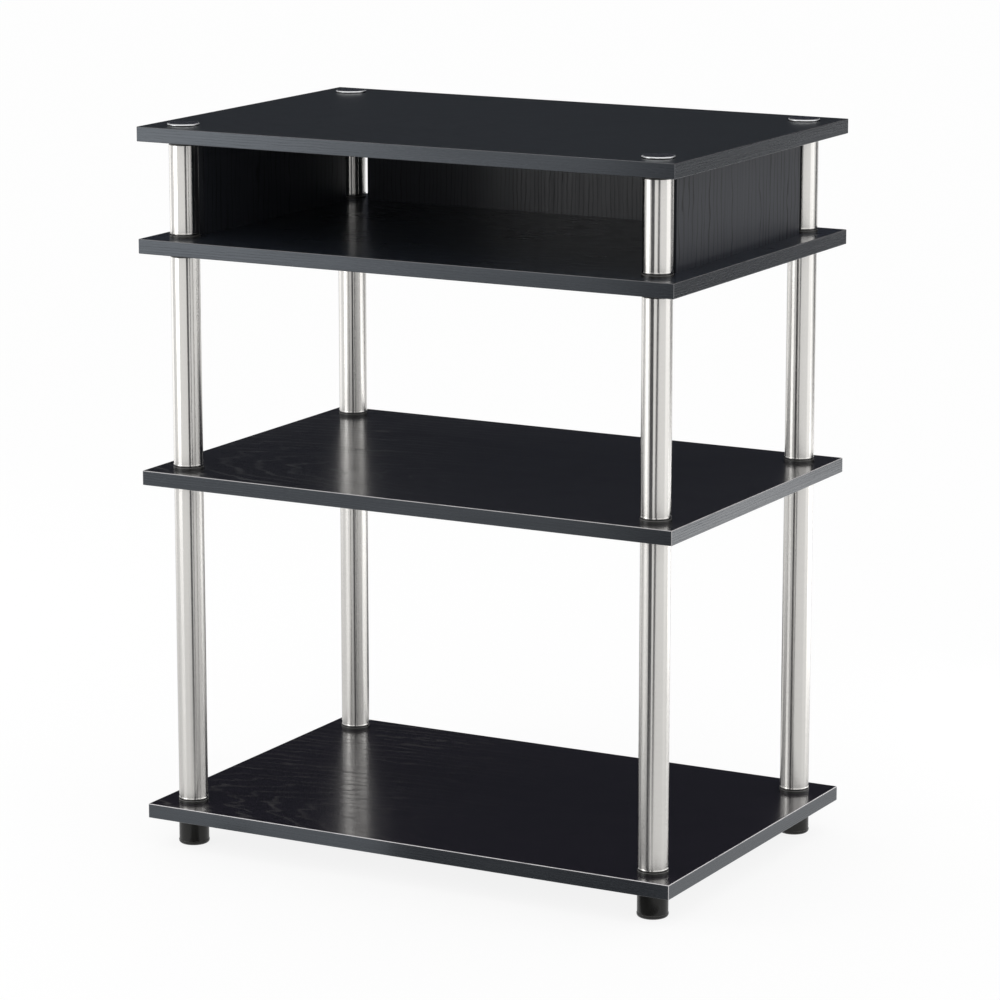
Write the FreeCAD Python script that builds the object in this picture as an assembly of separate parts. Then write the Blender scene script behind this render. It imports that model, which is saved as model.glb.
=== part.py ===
import FreeCAD, Part
import os

# A printer stand: four laminated boards carried on hand-screwed steel tubes, with a compartment of three
# panels under the top board. Millimetres, X across the width, the front at -Y, Z up from the floor.

# Boards and the banding on their edges
board_width = 600.0
board_depth = 400.0
board_thickness = 15.0
edging_thickness = 1.0
edging_round = 0.7

# Clear heights between the boards, from the bottom up
lower_bay_height = 337.0
middle_bay_height = 223.0
compartment_height = 98.5

# Steel tubes, whose axes stand in from both edges of the boards
tube_diameter = 30.0
tube_wall = 1.0
tube_inset = 34.0
tube_end_round = 0.9

# Flare at the foot of each tube, a cone that ends in a narrow land
flare_overhang = 0.3
flare_height = 1.0
flare_land = 0.6

# Plug in the foot of each tube, with a lip and a neck that show below the steel
collar_overhang = 0.6
collar_height = 2.8
collar_round = 0.8
neck_height = 1.2
neck_recess = 0.8

# Threaded insert in the head of each tube, with a thin flange above the steel
flange_height = 4.0
flange_recess = 0.4

# The part of a plug or an insert that goes inside the steel
plug_length = 24.0
plug_lead = 1.2
plug_end_wall = 10.0

# Thread of every stud, and the standard thread form as shares of its pitch
thread_diameter = 12.0
thread_pitch = 1.75
thread_depth = 1.07
thread_engagement = 14.0
crest_flat_share = 1.0 / 8.0
root_flat_share = 1.0 / 4.0

# Chromed caps on the top board
cap_diameter = 32.5
cap_height = 2.2
cap_round = 1.2
cap_spigot_shoulder = 0.9
cap_spigot_length = 1.1

# Feet, each moulded round a threaded bush that is longer than the stud's reach into it
foot_diameter = 31.0
foot_round = 3.0
foot_lip_overhang = 0.4
foot_lip_height = 4.2
foot_sole = 9.0
bush_wall = 2.9
bush_end_gap = 7.0

# Compartment panels, which stand between the tubes, and the dowels that hold them
panel_thickness = 15.0
panel_tube_gap = 9.0
dowel_diameter = 8.0
dowel_length = 30.0
dowel_cover = 4.5
dowel_end_distance = 40.0
dowel_lead = 0.8

# Clearances between mating pieces
press_clearance = 0.03
thread_clearance = 0.10
turning_clearance = 0.06
stud_hole_clearance = 0.5
dowel_clearance = 0.05
dowel_end_gap = 0.5
insert_end_gap = 1.5

# The most of a wall that a rounding may take, and the nearness that counts as the same place
round_share = 0.9
same_place = 1e-6

# Sizes that follow from the mating pieces
collar_reach = collar_height + neck_height
stud_seat_depth = collar_reach + plug_length - plug_end_wall
plug_radius = tube_diameter / 2 - tube_wall - press_clearance
thread_crest = thread_diameter / 2
thread_root = thread_crest - thread_depth
thread_bore = thread_crest + thread_clearance
stud_hole = thread_crest + stud_hole_clearance
stud_reach = board_thickness + thread_engagement
cap_spigot_radius = thread_root - cap_spigot_shoulder
bush_radius = thread_bore + bush_wall
bush_length = thread_engagement + bush_end_gap
foot_height = foot_sole + bush_length
dowel_radius = dowel_diameter / 2
dowel_socket_radius = dowel_radius + dowel_clearance
board_socket_depth = board_thickness - dowel_cover
dowel_board_depth = board_socket_depth - dowel_end_gap
panel_socket_depth = dowel_length - dowel_board_depth + dowel_end_gap

# Places on the floor plan
tube_x = board_width / 2 - tube_inset
tube_y = board_depth / 2 - tube_inset
panel_end_offset = tube_diameter / 2 + panel_tube_gap
side_panel_length = 2 * (tube_y - panel_end_offset)
back_panel_length = 2 * (tube_x - panel_end_offset)

# Heights that follow from the stack
bottom_shelf_base = foot_height
bottom_shelf_face = bottom_shelf_base + board_thickness
middle_shelf_base = bottom_shelf_face + lower_bay_height
middle_shelf_face = middle_shelf_base + board_thickness
upper_shelf_base = middle_shelf_face + middle_bay_height
upper_shelf_face = upper_shelf_base + board_thickness
top_board_base = upper_shelf_face + compartment_height
top_board_face = top_board_base + board_thickness

corners = {
    "front_left": (-tube_x, -tube_y),
    "front_right": (tube_x, -tube_y),
    "back_left": (-tube_x, tube_y),
    "back_right": (tube_x, tube_y),
}

# Each tier of tubes stands on one board's face and carries the next board's base
tiers = {
    "lower": (bottom_shelf_face, middle_shelf_base),
    "middle": (middle_shelf_face, upper_shelf_base),
    "upper": (upper_shelf_face, top_board_base),
}


def block(size_x, size_y, size_z, base_z):
    """Box centred on the Z axis, standing on a height."""
    return Part.makeBox(size_x, size_y, size_z, FreeCAD.Vector(-size_x / 2, -size_y / 2, base_z))


def rod(radius, base_z, height):
    """Cylinder about the Z axis."""
    return Part.makeCylinder(radius, height, FreeCAD.Vector(0, 0, base_z))


def moved(shape, x, y):
    """Copy of a shape, shifted across the floor."""
    copy = shape.copy()
    copy.translate(FreeCAD.Vector(x, y, 0))
    return copy


def at_corners(shape):
    """Copies of a shape at the four tube axes."""
    return [moved(shape, x, y) for x, y in corners.values()]


def circles_at(shape, height):
    """Circular edges of a turned shape that lie at one height."""
    return [
        edge for edge in shape.Edges
        if edge.isClosed() and abs(edge.BoundBox.ZMin - height) + edge.BoundBox.ZLength < same_place
    ]


def upright_edges(shape):
    """Straight vertical edges of a box."""
    return [edge for edge in shape.Edges if edge.BoundBox.XLength + edge.BoundBox.YLength < same_place]


def turned(profile):
    """Solid of revolution about the Z axis from (radius, height) points, given counter-clockwise."""
    points = [FreeCAD.Vector(radius, 0, height) for radius, height in profile]
    face = Part.Face(Part.makePolygon(points + points[:1]))
    return face.revolve(FreeCAD.Vector(0, 0, 0), FreeCAD.Vector(0, 0, 1), 360)


def rounding(radius, wall):
    """Radius of a rounded edge, which stays within its own wall."""
    return min(radius, round_share * wall)


def edging_strips(base_z):
    """The four bands round a board: the front and back ones cover the ends of the side ones."""
    blank = block(board_width, board_depth, board_thickness, base_z)
    blank = blank.makeFillet(rounding(edging_round, edging_thickness), blank.Edges)
    ring = blank.cut(board_core(base_z))
    long_strip = block(board_width, edging_thickness, board_thickness, base_z)
    short_strip = block(edging_thickness, board_depth - 2 * edging_thickness, board_thickness, base_z)
    strip_x = (board_width - edging_thickness) / 2
    strip_y = (board_depth - edging_thickness) / 2
    places = [
        moved(long_strip, 0, -strip_y),
        moved(long_strip, 0, strip_y),
        moved(short_strip, -strip_x, 0),
        moved(short_strip, strip_x, 0),
    ]
    return [ring.common(place) for place in places]


def board_core(base_z):
    """Laminated board inside its bands, before any hole."""
    return block(
        board_width - 2 * edging_thickness, board_depth - 2 * edging_thickness, board_thickness, base_z
    )


def drilled_board(base_z, socket_base):
    """Board with a hole for the stud at each corner and, where given a height, the dowels' sockets."""
    holes = at_corners(rod(stud_hole, base_z, board_thickness))
    if socket_base is not None:
        holes += at_dowels(rod(dowel_socket_radius, socket_base, board_socket_depth))
    return board_core(base_z).cut(holes)


def dowel_places():
    """Where the dowels stand on the floor plan, by panel."""
    along_side = side_panel_length / 2 - dowel_end_distance
    along_back = back_panel_length / 2 - dowel_end_distance
    return {
        "left_panel": [(-tube_x, -along_side), (-tube_x, along_side)],
        "right_panel": [(tube_x, -along_side), (tube_x, along_side)],
        "back_panel": [(-along_back, tube_y), (along_back, tube_y)],
    }


def at_dowels(shape):
    """Copies of a shape at every dowel."""
    return [moved(shape, x, y) for places in dowel_places().values() for x, y in places]


def dowel(base_z):
    """Wooden dowel with eased ends."""
    pin = rod(dowel_radius, base_z, dowel_length)
    ends = circles_at(pin, base_z) + circles_at(pin, base_z + dowel_length)
    return pin.makeChamfer(dowel_lead, ends)


def panel_dowels():
    """Dowels at the foot and at the head of every panel."""
    low_base = upper_shelf_face - dowel_board_depth
    high_base = top_board_base + dowel_board_depth - dowel_length
    return at_dowels(dowel(low_base)) + at_dowels(dowel(high_base))


def panel_pieces(name, size_x, size_y, x, y):
    """Drilled panel of the compartment and the bands on its two upright ends."""
    blank = block(size_x, size_y, compartment_height, upper_shelf_face)
    blank = blank.makeFillet(rounding(edging_round, edging_thickness), upright_edges(blank))
    blank = moved(blank, x, y)
    if size_x > size_y:
        inside = block(size_x - 2 * edging_thickness, size_y, compartment_height, upper_shelf_face)
    else:
        inside = block(size_x, size_y - 2 * edging_thickness, compartment_height, upper_shelf_face)
    inside = moved(inside, x, y)
    low_socket = rod(dowel_socket_radius, upper_shelf_face, panel_socket_depth)
    high_socket = rod(dowel_socket_radius, top_board_base - panel_socket_depth, panel_socket_depth)
    sockets = []
    for place in dowel_places()[name]:
        sockets.append(moved(low_socket, *place))
        sockets.append(moved(high_socket, *place))
    return inside.cut(sockets), blank.cut(inside).Solids


def tube(base_z, head_z):
    """Steel tube between the collar on one board and the flange under the next, flared at its foot."""
    low = base_z + collar_reach
    length = head_z - flange_height - low
    outside = rod(tube_diameter / 2, low, length)
    outside = outside.makeFillet(rounding(tube_end_round, tube_wall), circles_at(outside, low + length))
    outside = outside.fuse(tube_flare(low)).removeSplitter()
    return outside.cut(rod(tube_diameter / 2 - tube_wall, low, length))


def tube_flare(low):
    """Flare that a tube's foot runs out into, still solid inside."""
    radius = tube_diameter / 2
    flare = turned([
        (0, low),
        (radius + flare_overhang, low),
        (radius + flare_overhang, low + flare_land),
        (radius, low + flare_land + flare_height),
        (0, low + flare_land + flare_height),
    ])
    return flare.makeFillet(rounding(tube_end_round, flare_land), circles_at(flare, low))


def plug(base_z):
    """Plastic plug in the foot of a tube: lip, neck, body inside the steel and a blind seat for its stud."""
    lip = rod(tube_diameter / 2 + collar_overhang, base_z, collar_height)
    lip = lip.makeFillet(collar_round, circles_at(lip, base_z + collar_height))
    neck = rod(tube_diameter / 2 - neck_recess, base_z, collar_reach)
    body_head = base_z + collar_reach + plug_length
    body = rod(plug_radius, base_z, body_head - base_z)
    body = body.makeChamfer(plug_lead, circles_at(body, body_head))
    seat = rod(thread_bore, base_z, stud_seat_depth)
    return lip.fuse([neck, body]).removeSplitter().cut(seat)


def insert(head_z):
    """Plastic insert in the head of a tube: flange, body inside the steel and a blind threaded bore."""
    flange = rod(tube_diameter / 2 - flange_recess, head_z - flange_height, flange_height)
    body_foot = head_z - flange_height - plug_length
    body = rod(plug_radius, body_foot, head_z - body_foot)
    body = body.makeChamfer(plug_lead, circles_at(body, body_foot))
    depth = thread_engagement + insert_end_gap
    bore = rod(thread_bore, head_z - depth, depth)
    return flange.fuse(body).removeSplitter().cut(bore)


def threaded_rod(foot_z, head_z):
    """Stud about the Z axis, its thread drawn as one ring to each pitch."""
    flank = thread_pitch * (1 - crest_flat_share - root_flat_share) / 2
    crest_flat = thread_pitch * crest_flat_share
    turns = int((head_z - foot_z) / thread_pitch) - 1
    first_ring = (foot_z + head_z - turns * thread_pitch) / 2
    profile = [(0, foot_z), (thread_root, foot_z)]
    for turn in range(turns):
        ring = first_ring + turn * thread_pitch
        profile.append((thread_root, ring))
        profile.append((thread_crest, ring + flank))
        profile.append((thread_crest, ring + flank + crest_flat))
        profile.append((thread_root, ring + 2 * flank + crest_flat))
    profile += [(thread_root, head_z), (0, head_z)]
    return turned(profile)


def plug_stud(base_z):
    """Stud from its seat in a plug, down through the board, into the insert or the foot below."""
    return threaded_rod(base_z - stud_reach, base_z + stud_seat_depth)


def cap_head():
    """Chromed cap on the top board, hollowed below for the spigot of its stud."""
    head = rod(cap_diameter / 2, top_board_face, cap_height)
    head = head.makeFillet(rounding(cap_round, cap_height), circles_at(head, top_board_face + cap_height))
    socket = rod(cap_spigot_radius + turning_clearance, top_board_face, cap_spigot_length)
    return head.cut(socket)


def cap_stud():
    """Threaded stud of a cap, with a spigot that the cap sits on."""
    stud = threaded_rod(top_board_face - stud_reach, top_board_face)
    spigot = rod(cap_spigot_radius, top_board_face, cap_spigot_length)
    return stud.fuse(spigot).removeSplitter()


def foot_barrel():
    """Moulded foot on a lip with a rounded sole, with a seat for its bush."""
    lip = rod(foot_diameter / 2 + foot_lip_overhang, 0, foot_lip_height)
    lip_round = rounding(foot_lip_overhang, foot_lip_overhang)
    sole_round = rounding(foot_round, foot_lip_height - lip_round)
    lip = lip.makeFillet(lip_round, circles_at(lip, foot_lip_height))
    lip = lip.makeFillet(sole_round, circles_at(lip, 0))
    barrel = rod(foot_diameter / 2, foot_lip_height, foot_height - foot_lip_height)
    seat = rod(bush_radius + turning_clearance, foot_sole, bush_length)
    return barrel.fuse(lip).removeSplitter().cut(seat)


def foot_bush():
    """Threaded bush inside a foot."""
    return rod(bush_radius, foot_sole, bush_length).cut(rod(thread_bore, foot_sole, bush_length))


def save(name, solids):
    """Write one node, a single piece or a group of like pieces."""
    shape = solids[0] if len(solids) == 1 else Part.makeCompound(solids)
    shape.exportStep(os.path.join("parts", name + ".step"))


def save_boards():
    """The four boards, each with its bands."""
    boards = {
        "bottom_shelf": (bottom_shelf_base, None),
        "middle_shelf": (middle_shelf_base, None),
        "upper_shelf": (upper_shelf_base, upper_shelf_face - board_socket_depth),
        "top_board": (top_board_base, top_board_base),
    }
    for name, (base_z, socket_base) in boards.items():
        save(name, [drilled_board(base_z, socket_base)])
        save(name + "_edging", edging_strips(base_z))


def save_compartment():
    """The three panels, their bands and their dowels."""
    places = {
        "left_panel": (panel_thickness, side_panel_length, -tube_x, 0),
        "right_panel": (panel_thickness, side_panel_length, tube_x, 0),
        "back_panel": (back_panel_length, panel_thickness, 0, tube_y),
    }
    bands = []
    for name, place in places.items():
        panel, strips = panel_pieces(name, *place)
        save(name, [panel])
        bands += strips
    save("panel_edging", bands)
    save("panel_dowels", panel_dowels())


def save_tiers():
    """Tubes and collar plugs one by one, inserts and studs by tier."""
    for tier, (base_z, head_z) in tiers.items():
        tier_tube = tube(base_z, head_z)
        tier_plug = plug(base_z)
        for corner, (x, y) in corners.items():
            save(f"{tier}_tube_{corner}", [moved(tier_tube, x, y)])
            save(f"{tier}_collar_{corner}", [moved(tier_plug, x, y)])
        save(f"{tier}_tube_inserts", at_corners(insert(head_z)))
        save(f"{tier}_studs", at_corners(plug_stud(base_z)))


def save_caps_and_feet():
    """The hand-screwed ends of each corner."""
    ends = {"cap": cap_head(), "cap_stud": cap_stud(), "foot": foot_barrel(), "foot_bush": foot_bush()}
    for name, piece in ends.items():
        for corner, (x, y) in corners.items():
            save(f"{name}_{corner}", [moved(piece, x, y)])


os.makedirs("parts", exist_ok=True)
save_boards()
save_compartment()
save_tiers()
save_caps_and_feet()
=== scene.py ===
"""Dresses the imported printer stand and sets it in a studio.

Lengths are metres, Z is up and the front of the stand faces -Y. Every finish is worked out in shader nodes from the
surface's own place, so it stays where it is when a cap or a foot is screwed out.
"""

import logging
import math
from abc import ABC, abstractmethod
from dataclasses import dataclass, field
from enum import Enum
from typing import ClassVar

import bmesh
import bpy
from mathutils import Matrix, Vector

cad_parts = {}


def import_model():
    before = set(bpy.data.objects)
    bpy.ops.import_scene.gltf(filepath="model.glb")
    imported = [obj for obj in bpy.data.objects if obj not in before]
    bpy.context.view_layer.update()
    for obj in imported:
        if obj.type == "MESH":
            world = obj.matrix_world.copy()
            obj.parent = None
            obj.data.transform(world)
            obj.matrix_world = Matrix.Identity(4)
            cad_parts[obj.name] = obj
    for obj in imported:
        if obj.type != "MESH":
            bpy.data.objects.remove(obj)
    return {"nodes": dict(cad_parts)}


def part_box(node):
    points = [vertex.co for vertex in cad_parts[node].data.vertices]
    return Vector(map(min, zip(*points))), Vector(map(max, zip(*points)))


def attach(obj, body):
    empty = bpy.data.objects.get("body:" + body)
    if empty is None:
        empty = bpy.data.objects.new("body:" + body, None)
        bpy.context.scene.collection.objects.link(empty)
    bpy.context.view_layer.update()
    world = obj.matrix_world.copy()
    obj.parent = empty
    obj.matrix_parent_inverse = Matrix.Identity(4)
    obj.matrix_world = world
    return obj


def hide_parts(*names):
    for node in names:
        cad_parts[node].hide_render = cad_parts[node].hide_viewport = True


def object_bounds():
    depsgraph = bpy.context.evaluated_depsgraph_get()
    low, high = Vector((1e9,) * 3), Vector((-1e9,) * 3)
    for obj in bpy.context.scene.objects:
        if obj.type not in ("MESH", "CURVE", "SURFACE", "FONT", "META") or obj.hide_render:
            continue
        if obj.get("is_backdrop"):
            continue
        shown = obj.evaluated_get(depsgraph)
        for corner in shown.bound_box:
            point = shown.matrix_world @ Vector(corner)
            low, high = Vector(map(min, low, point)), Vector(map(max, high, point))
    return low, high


LOG = logging.getLogger("printer_stand")
FULL_TURN = 2 * math.pi
RIGHT_ANGLE_DEG = 90.0
NOISE_MIDDLE = 0.5

Colour = tuple[float, float, float]
Point = tuple[float, float, float]
Plan = tuple[float, float]
Rod = tuple[Plan, float, float, float]
Socket = bpy.types.NodeSocket
Value = float | Colour | Socket


class GrainRun(Enum):
    """How the grain of a laminated face lies: the axes along it, across it and through the board."""

    OVER_THE_WIDTH = ("X", "Y", "Z")
    UPRIGHT_ON_A_SIDE = ("Z", "Y", "X")
    UPRIGHT_ON_THE_BACK = ("Z", "X", "Y")


class Corner(Enum):
    """The four corners of the stand."""

    FRONT_LEFT = "front_left"
    FRONT_RIGHT = "front_right"
    BACK_LEFT = "back_left"
    BACK_RIGHT = "back_right"


class Tier(Enum):
    """The three storeys of tubes."""

    LOWER = "lower"
    MIDDLE = "middle"
    UPPER = "upper"


class Graph:
    """Short way to place nodes in one shader tree and join them."""

    def __init__(self, tree: bpy.types.NodeTree) -> None:
        """Keep the tree that the nodes go into."""
        self.tree = tree

    def add(self, kind: str, inputs: dict[str, Value] | None = None, **settings: object) -> bpy.types.Node:
        """Place one node.

        Args:
            kind: Blender's name of the node's type.
            inputs: what goes into its sockets, by their names.
            settings: the node's own attributes.

        Returns:
            The new node.
        """
        node = self.tree.nodes.new(kind)
        for name, setting in settings.items():
            setattr(node, name, setting)
        for name, value in (inputs or {}).items():
            self.feed(node.inputs[name], value)
        return node

    def feed(self, socket: Socket, value: Value) -> None:
        """Join another socket to this one, or set this one to a constant.

        Args:
            socket: the input to fill.
            value: a socket, a number, a vector or a colour.
        """
        if isinstance(value, bpy.types.NodeSocket):
            self.tree.links.new(value, socket)
        elif socket.type == "RGBA":
            socket.default_value = (*value, 1.0)
        else:
            socket.default_value = value

    def math(self, operation: str, *operands: Value) -> Socket:
        """Result of one sum.

        Args:
            operation: Blender's name of the sum.
            operands: its numbers, in order.

        Returns:
            The result's socket.
        """
        node = self.add("ShaderNodeMath", operation=operation)
        for socket, operand in zip(node.inputs, operands):
            self.feed(socket, operand)
        return node.outputs[0]

    def axes(self, vector: Socket) -> dict[str, Socket]:
        """The X, Y and Z parts of a vector."""
        parts = self.add("ShaderNodeSeparateXYZ", {"Vector": vector})
        return {axis: parts.outputs[axis] for axis in "XYZ"}

    def vector(self, x: Value, y: Value, z: Value) -> Socket:
        """Vector of three numbers."""
        return self.add("ShaderNodeCombineXYZ", {"X": x, "Y": y, "Z": z}).outputs[0]

    def noise(self, place: Socket, per_metre: Point, detail: float = 2.0) -> Socket:
        """Soft noise from 0 to 1 that is stretched along the axes.

        Args:
            place: where on the surface.
            per_metre: how many features there are to a metre, by axis.
            detail: how many finer octaves are added.

        Returns:
            The noise's socket.
        """
        scaled = self.add("ShaderNodeVectorMath", operation="MULTIPLY")
        self.feed(scaled.inputs[0], place)
        self.feed(scaled.inputs[1], per_metre)
        texture = self.add("ShaderNodeTexNoise", {"Vector": scaled.outputs[0], "Scale": 1.0, "Detail": detail})
        return texture.outputs[0]

    def ramp(self, value: Value, low: float, high: float) -> Socket:
        """Smooth step of a value, from 0 at the low limit to 1 at the high one."""
        limits = {"Value": value, "From Min": low, "From Max": high}
        return self.add("ShaderNodeMapRange", limits, interpolation_type="SMOOTHSTEP").outputs[0]

    def between(self, share: Value, first: Value, second: Value) -> Socket:
        """Number that lies a share of the way from the first to the second."""
        limits = {"Value": share, "To Min": first, "To Max": second}
        return self.add("ShaderNodeMapRange", limits).outputs[0]

    def tint(self, share: Value, first: Value, second: Value) -> Socket:
        """Colour that lies a share of the way from the first to the second.

        Args:
            share: 0 for the first colour, 1 for the second.
            first: the colour at 0.
            second: the colour at 1.

        Returns:
            The colour's socket.
        """
        node = self.add("ShaderNodeMix", data_type="RGBA")
        self.feed(node.inputs["Factor"], share)
        for name, colour in (("A", first), ("B", second)):
            inputs = [socket for socket in node.inputs if socket.name == name and socket.type == "RGBA"]
            self.feed(inputs[0], colour)
        return [socket for socket in node.outputs if socket.type == "RGBA"][0]

    def relief(self, height: Socket, depth: float) -> Socket:
        """Normal of a surface with a fine relief from 0 to 1, where 1 lies the depth in metres above 0."""
        return self.add("ShaderNodeBump", {"Height": height, "Strength": 1.0, "Distance": depth}).outputs[0]


class Effect(ABC):
    """Surface effect that several finishes share, kept as one shader node group."""

    NAME: ClassVar[str]
    INPUTS: ClassVar[dict[str, float | Point]]
    OUTPUTS: ClassVar[tuple[str, ...]]

    @abstractmethod
    def wire(self, graph: Graph, inputs: dict[str, Socket]) -> tuple[Socket, ...]:
        """Lay out the group's nodes.

        Args:
            graph: the group's own tree.
            inputs: the group's inputs by name.

        Returns:
            One socket for each of the group's outputs, in order.
        """

    def group(self) -> bpy.types.NodeTree:
        """Find the node group, or build it at its first use.

        Returns:
            The group's tree.
        """
        found = bpy.data.node_groups.get(self.NAME)
        if found is not None:
            return found
        tree = bpy.data.node_groups.new(self.NAME, "ShaderNodeTree")
        for name, default in self.INPUTS.items():
            kind = "NodeSocketVector" if isinstance(default, tuple) else "NodeSocketFloat"
            tree.interface.new_socket(name, in_out="INPUT", socket_type=kind).default_value = default
        for name in self.OUTPUTS:
            tree.interface.new_socket(name, in_out="OUTPUT", socket_type="NodeSocketFloat")
        graph = Graph(tree)
        entry = graph.add("NodeGroupInput")
        results = self.wire(graph, {name: entry.outputs[name] for name in self.INPUTS})
        graph.add("NodeGroupOutput", dict(zip(self.OUTPUTS, results)))
        return tree

    def place(self, graph: Graph, **values: Value) -> tuple[Socket, ...]:
        """Put the effect into a material.

        Args:
            graph: the material's tree.
            values: what goes into the group, by the names of its inputs with _ for a space.

        Returns:
            The group's outputs, in order.
        """
        node = graph.add("ShaderNodeGroup", node_tree=self.group())
        for name, value in values.items():
            graph.feed(node.inputs[name.replace("_", " ")], value)
        return tuple(node.outputs[name] for name in self.OUTPUTS)


class WoodFigure(Effect):
    """Growth rings of a flat-sawn board, with open pores that lie along its grain.

    Place is measured along the grain, across it and through the board. The rings arch where the heart of the tree
    comes near to the face. A spread says how many features of one kind there are to a metre, in those three
    directions, and a step says over which values of their noise they come up.
    """

    NAME = "wood_figure"
    INPUTS = {"Place": (0.0, 0.0, 0.0), "Heart": 0.05, "Taper": 0.1, "Ring Spacing": 0.006, "Warp": 0.03}
    OUTPUTS = ("Tone", "Rings", "Pores")
    TONE_SPREAD = (3.0, 28.0, 28.0)
    SWAY_SPREAD = (1.6, 5.0, 5.0)
    BEND_SPREAD = (9.0, 45.0, 45.0)
    BEND_RINGS = 1.9
    RIPPLE_SPREAD = (38.0, 65.0, 65.0)
    RIPPLE_RINGS = 0.6
    LATE_WOOD_START = (0.7, 0.84)
    LATE_WOOD_END = (1.0, 0.92)
    BREAK_SPREAD = (30.0, 1000.0, 1000.0)
    BREAK_STEP = (0.3, 0.6)
    LEFT_AT_A_BREAK = 0.4
    STRENGTH_SPREAD = (4.0, 35.0, 35.0)
    STRENGTH_STEP = (0.3, 0.65)
    LEAST_STRENGTH = 0.3
    STREAK_SPREAD = (6.0, 520.0, 520.0)
    STREAK_STEP = (0.45, 0.7)
    STREAK_STRENGTH = 0.4
    DASH_SPREAD = (130.0, 2300.0, 2300.0)
    DASH_STEP = (0.55, 0.7)
    DASH_STRENGTH = 0.3

    def wire(self, graph: Graph, inputs: dict[str, Socket]) -> tuple[Socket, ...]:
        """Lay out the rings, the streaks and the pores.

        Args:
            graph: the group's own tree.
            inputs: the group's inputs by name.

        Returns:
            The sockets of the tone, the rings and the pores.
        """
        place = inputs["Place"]
        axes = graph.axes(place)
        sway = graph.math("SUBTRACT", graph.noise(place, self.SWAY_SPREAD), NOISE_MIDDLE)
        across = graph.math("MULTIPLY_ADD", sway, inputs["Warp"], axes["Y"])
        depth = graph.math("SUBTRACT", inputs["Heart"], graph.math("MULTIPLY", inputs["Taper"], axes["X"]))
        squares = graph.math("MULTIPLY_ADD", across, across, graph.math("MULTIPLY", depth, depth))
        bends = graph.math("MULTIPLY", graph.noise(place, self.BEND_SPREAD), self.BEND_RINGS)
        ripples = graph.noise(place, self.RIPPLE_SPREAD, detail=1.0)
        wiggle = graph.math("MULTIPLY_ADD", ripples, self.RIPPLE_RINGS, bends)
        rounds = graph.math("DIVIDE", graph.math("SQRT", squares), inputs["Ring Spacing"])
        phase = graph.math("FRACT", graph.math("ADD", rounds, wiggle))
        late = graph.math(
            "MULTIPLY", graph.ramp(phase, *self.LATE_WOOD_START), graph.ramp(phase, *self.LATE_WOOD_END))
        broken = graph.ramp(graph.noise(place, self.BREAK_SPREAD, detail=1.0), *self.BREAK_STEP)
        strength = graph.ramp(graph.noise(place, self.STRENGTH_SPREAD), *self.STRENGTH_STEP)
        rings = graph.math("MULTIPLY", late, graph.between(broken, self.LEFT_AT_A_BREAK, 1.0))
        rings = graph.math("MULTIPLY", rings, graph.between(strength, self.LEAST_STRENGTH, 1.0))
        streak = graph.ramp(graph.noise(place, self.STREAK_SPREAD, detail=1.0), *self.STREAK_STEP)
        dash = graph.ramp(graph.noise(place, self.DASH_SPREAD, detail=1.0), *self.DASH_STEP)
        streaks = graph.math("MULTIPLY", streak, self.STREAK_STRENGTH)
        pores = graph.math("MAXIMUM", streaks, graph.math("MULTIPLY", dash, self.DASH_STRENGTH))
        return graph.noise(place, self.TONE_SPREAD), rings, pores


class BrushedLines(Effect):
    """Fine scratches round a turned or ground piece, level with the floor."""

    NAME = "brushed_lines"
    INPUTS = {"Place": (0.0, 0.0, 0.0)}
    OUTPUTS = ("Lines",)
    COARSE_SPREAD = (22.0, 22.0, 700.0)
    COARSE_SHARE = 0.4
    FINE_SPREAD = (60.0, 60.0, 4200.0)
    FINE_SHARE = 0.6

    def wire(self, graph: Graph, inputs: dict[str, Socket]) -> tuple[Socket, ...]:
        """Lay out the coarse and the fine scratches.

        Args:
            graph: the group's own tree.
            inputs: the group's inputs by name.

        Returns:
            The socket of the scratches, alone in a tuple.
        """
        coarse = graph.math("MULTIPLY", graph.noise(inputs["Place"], self.COARSE_SPREAD), self.COARSE_SHARE)
        fine = graph.noise(inputs["Place"], self.FINE_SPREAD, detail=1.0)
        return (graph.math("MULTIPLY_ADD", fine, self.FINE_SHARE, coarse),)


class HandlingHaze(Effect):
    """Soft uneven patches that hands and dust leave on a surface."""

    NAME = "handling_haze"
    INPUTS = {"Place": (0.0, 0.0, 0.0)}
    OUTPUTS = ("Haze",)
    PATCH_SPREAD = (14.0, 14.0, 14.0)
    PATCH_STEP = (0.35, 0.75)

    def wire(self, graph: Graph, inputs: dict[str, Socket]) -> tuple[Socket, ...]:
        """Lay out broad patches with finer ones inside them."""
        return (graph.ramp(graph.noise(inputs["Place"], self.PATCH_SPREAD, detail=4.0), *self.PATCH_STEP),)


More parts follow.
